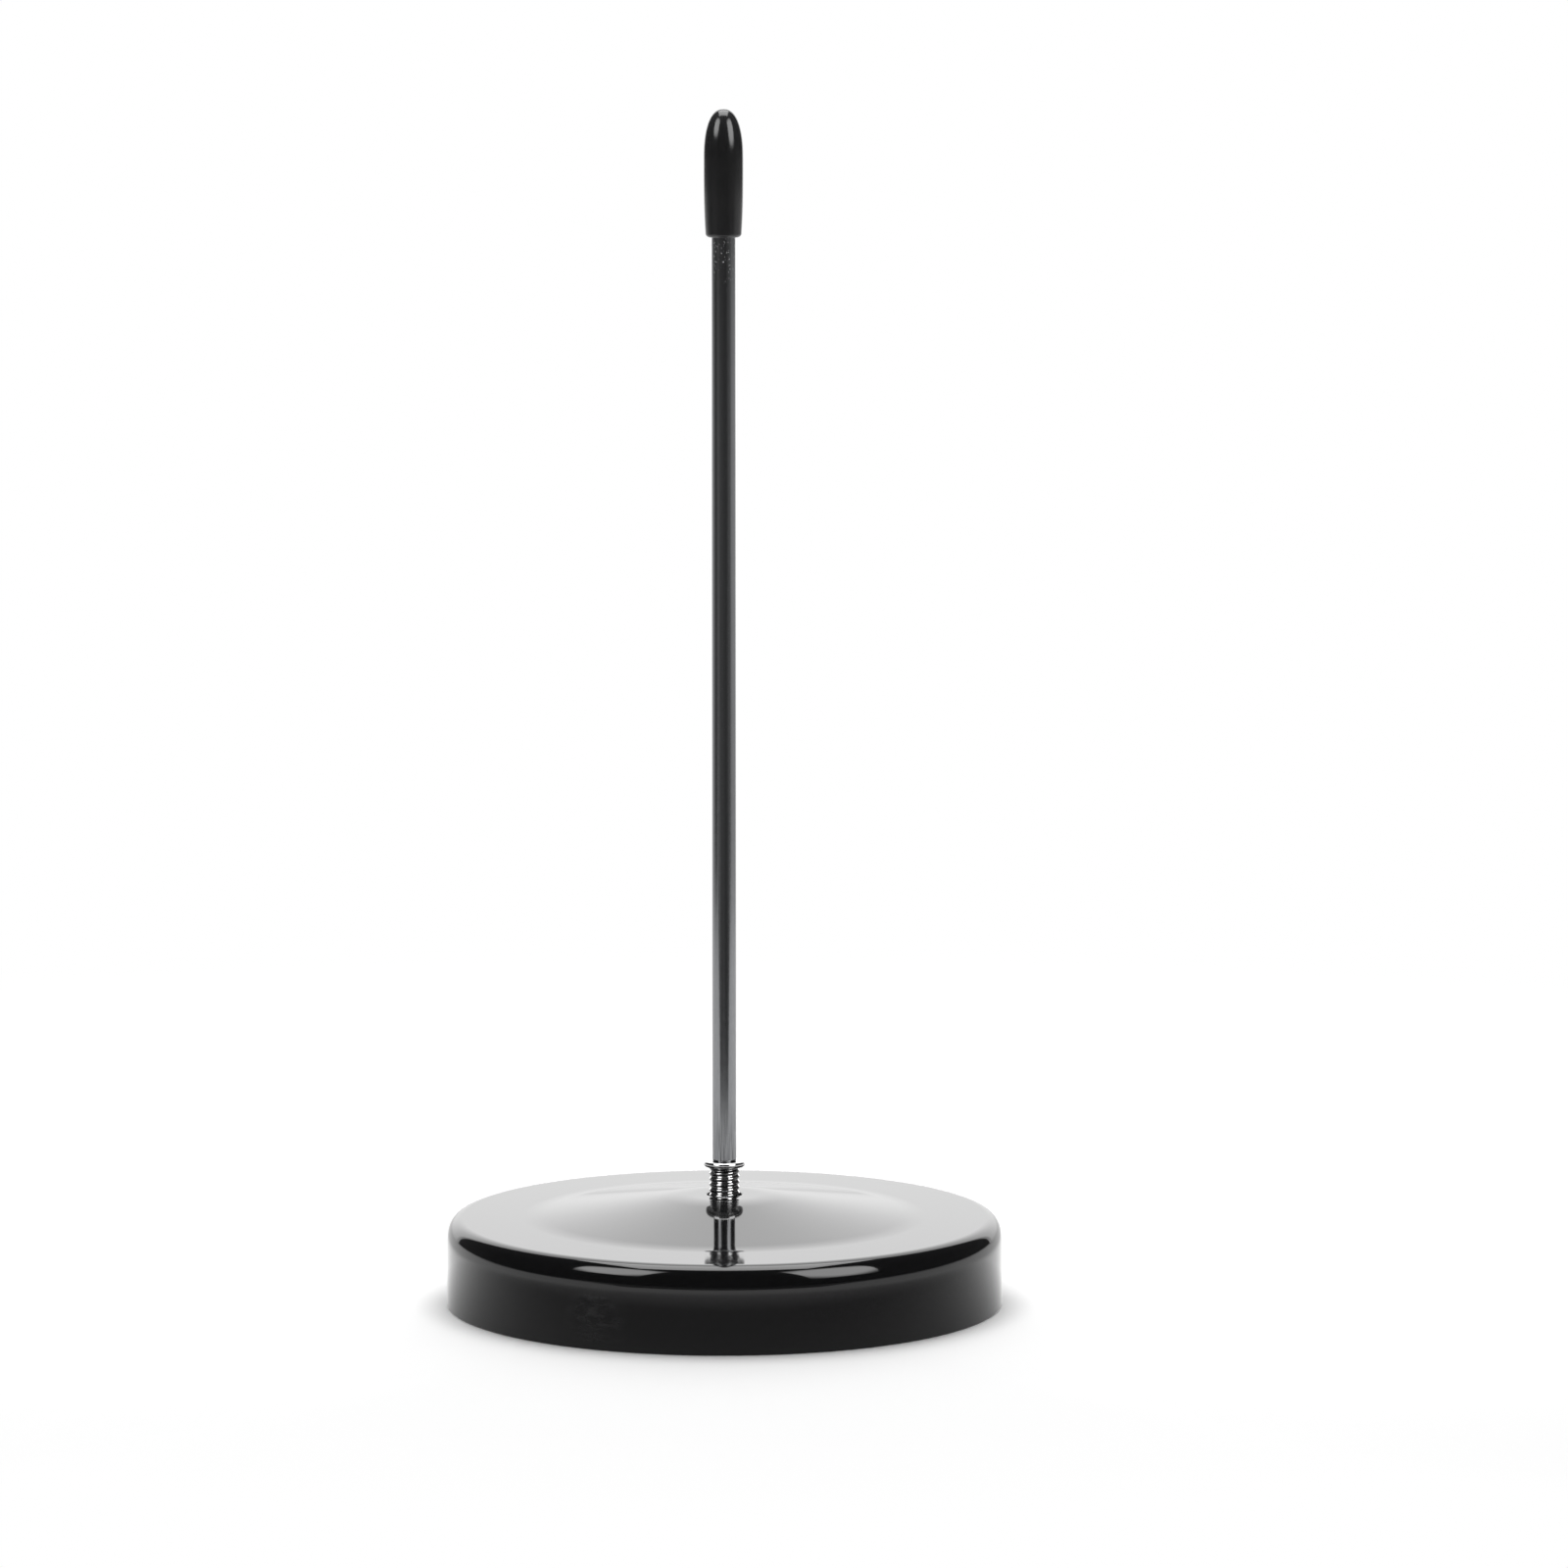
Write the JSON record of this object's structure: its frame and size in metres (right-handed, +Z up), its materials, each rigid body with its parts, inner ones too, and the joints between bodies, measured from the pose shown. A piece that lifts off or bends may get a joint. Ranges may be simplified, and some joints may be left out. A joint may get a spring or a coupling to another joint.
{
  "type": "bill spike",
  "caption": "Desk spike for bills and receipts: a slim upright rod screwed into a round pressed base, with a soft cap over its sharp point.",
  "frame": {"origin": "middle of the base's rest face, on the spike's axis", "axes": "+Z up along the spike; the part is round, so +X and -Y are only the picture's right and front"},
  "size_m": [0.07, 0.07, 0.15],
  "materials": {
    "base_paint": "gloss black stove enamel on pressed steel",
    "nut_steel": "plain zinc-plated steel",
    "screw_plating": "bright nickel plate",
    "rod_steel": "drawn steel, satin bright",
    "cap_vinyl": "soft dipped vinyl, smooth"
  },
  "bodies": {
    "base": {"base_shell": "base_paint", "fixing_nut": "nut_steel"},
    "spike": {"spike_rod": "rod_steel"},
    "screw": {"threaded_foot": "screw_plating"},
    "cap": {"safety_cap": "cap_vinyl"}
  },
  "joints": [
    {"name": "spike_rise", "type": "slide", "parent": "base", "child": "spike", "axis": [0, 0, 1], "range_m": [-0.0035, 0.00473]},
    {"name": "screw_turn", "type": "hinge", "parent": "spike", "child": "screw", "pos_m": [0, 0, 0.0151], "axis": [0, 0, 1], "range_deg": [-1801, 2431]},
    {"name": "cap_pull", "type": "slide", "parent": "spike", "child": "cap", "axis": [0, 0, 1], "range_m": [0, 0.025]}
  ],
  "couplings": [
    {"joint": "screw_turn", "follows": "spike_rise", "rad_per_m": 8976}
  ]
}
